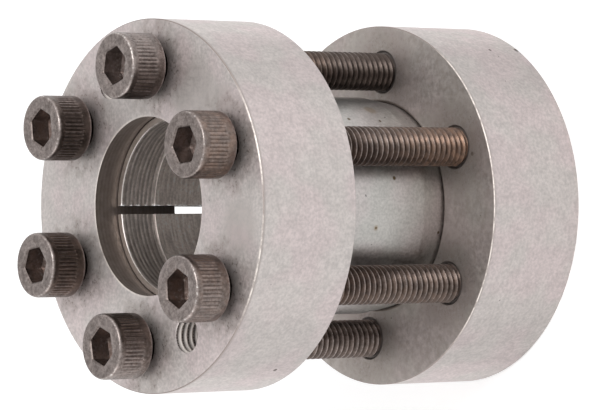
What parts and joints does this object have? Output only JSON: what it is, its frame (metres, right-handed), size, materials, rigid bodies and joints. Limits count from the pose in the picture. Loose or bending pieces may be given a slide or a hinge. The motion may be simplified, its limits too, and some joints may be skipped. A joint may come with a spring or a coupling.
{
  "type": "shaft locking assembly",
  "caption": "Rigid shaft clamp: two cone-bored flanges drawn together by cap screws over a slit, double-tapered sleeve that grips a shaft.",
  "frame": {"origin": "centre of the rear flange's outer face, which the assembly stands on", "axes": "+Z along the shaft axis towards the screw heads; +X in the plane of the first screw, less 4.7 degrees"},
  "size_m": [0.055, 0.055, 0.0677],
  "materials": {
    "flange_steel": "machined steel, light satin, faint mottling",
    "sleeve_steel": "turned steel, duller and slightly greenish grey, with small pits",
    "black_steel": "black oxide, worn to grey on the rims and crests, light rust tint"
  },
  "bodies": {
    "rear_flange": {"rear_flange": "flange_steel"},
    "front_flange": {"front_flange": "flange_steel"},
    "taper_sleeve": {"taper_sleeve": "sleeve_steel"},
    "clamp_screw_1": {"clamp_screw_1": "black_steel"},
    "clamp_screw_2": {"clamp_screw_2": "black_steel"},
    "clamp_screw_3": {"clamp_screw_3": "black_steel"},
    "clamp_screw_4": {"clamp_screw_4": "black_steel"},
    "clamp_screw_5": {"clamp_screw_5": "black_steel"},
    "clamp_screw_6": {"clamp_screw_6": "black_steel"}
  },
  "joints": [
    {"name": "flange_draw", "type": "slide", "parent": "rear_flange", "child": "front_flange", "axis": [0, 0, -1], "range_m": [-0.003, 0.001]},
    {"name": "sleeve_draw", "type": "slide", "parent": "rear_flange", "child": "taper_sleeve", "axis": [0, 0, -1], "range_m": [-0.0015, 0.0005]},
    {"name": "screw_1_turn", "type": "hinge", "parent": "front_flange", "child": "clamp_screw_1", "pos_m": [0.02043, -0.00168, 0.0617], "axis": [0, 0, -1], "range_deg": [-1080, 360]},
    {"name": "screw_2_turn", "type": "hinge", "parent": "front_flange", "child": "clamp_screw_2", "pos_m": [0.01167, 0.01685, 0.0617], "axis": [0, 0, -1], "range_deg": [-1080, 360]},
    {"name": "screw_3_turn", "type": "hinge", "parent": "front_flange", "child": "clamp_screw_3", "pos_m": [-0.00876, 0.01853, 0.0617], "axis": [0, 0, -1], "range_deg": [-1080, 360]},
    {"name": "screw_4_turn", "type": "hinge", "parent": "front_flange", "child": "clamp_screw_4", "pos_m": [-0.02043, 0.00168, 0.0617], "axis": [0, 0, -1], "range_deg": [-1080, 360]},
    {"name": "screw_5_turn", "type": "hinge", "parent": "front_flange", "child": "clamp_screw_5", "pos_m": [-0.01167, -0.01685, 0.0617], "axis": [0, 0, -1], "range_deg": [-1080, 360]},
    {"name": "screw_6_turn", "type": "hinge", "parent": "front_flange", "child": "clamp_screw_6", "pos_m": [0.00876, -0.01853, 0.0617], "axis": [0, 0, -1], "range_deg": [-1080, 360]}
  ],
  "couplings": [
    {"joint": "sleeve_draw", "follows": "flange_draw", "ratio": 0.5},
    {"joint": "screw_1_turn", "follows": "flange_draw", "rad_per_m": 6283.2},
    {"joint": "screw_2_turn", "follows": "flange_draw", "rad_per_m": 6283.2},
    {"joint": "screw_3_turn", "follows": "flange_draw", "rad_per_m": 6283.2},
    {"joint": "screw_4_turn", "follows": "flange_draw", "rad_per_m": 6283.2},
    {"joint": "screw_5_turn", "follows": "flange_draw", "rad_per_m": 6283.2},
    {"joint": "screw_6_turn", "follows": "flange_draw", "rad_per_m": 6283.2}
  ]
}
